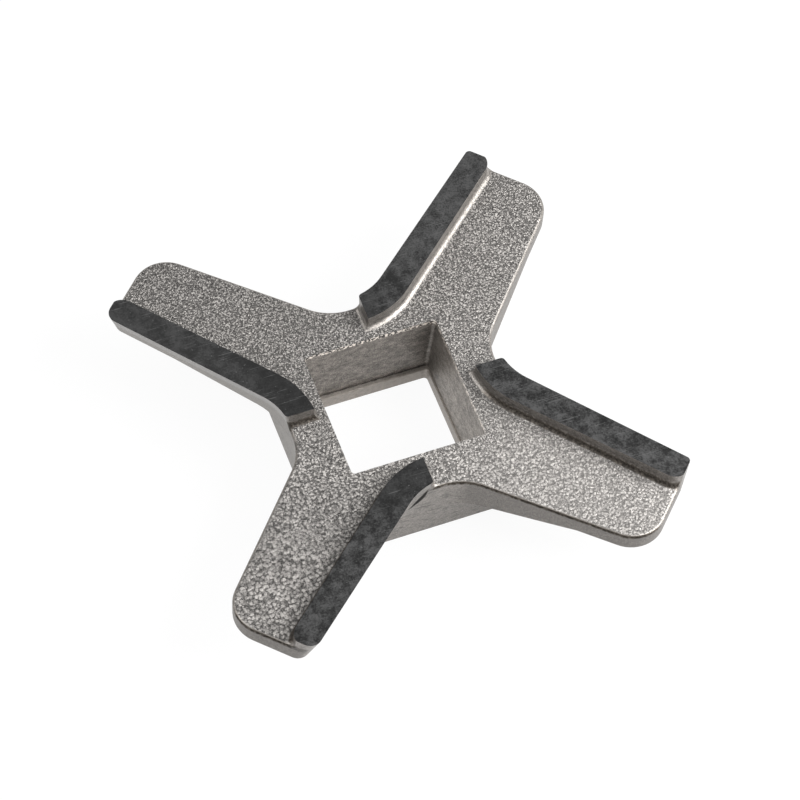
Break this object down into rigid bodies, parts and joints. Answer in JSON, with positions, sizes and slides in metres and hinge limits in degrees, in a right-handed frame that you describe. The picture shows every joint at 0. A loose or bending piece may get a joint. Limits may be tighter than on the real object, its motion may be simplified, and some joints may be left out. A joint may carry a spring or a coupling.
{
  "type": "meat grinder knife",
  "caption": "Cross-shaped cast steel cutting knife for a meat grinder, with raised ground cutting lands, raked cutting edges and a square drive hole through its hub.",
  "frame": {"origin": "middle of the square drive hole, on the flat bottom face of the boss", "axes": "+Z along the drive axis from the boss up to the ground cutting lands; X and Y parallel to the sides of the square hole, so the arms lie on the diagonals"},
  "size_m": [0.0378, 0.0378, 0.0086],
  "materials": {
    "cast_steel": "coarse cast grain on the web, smoother cast sides, matt dark ground lands"
  },
  "bodies": {
    "root": {"grinder_knife": "cast_steel"}
  },
  "joints": []
}
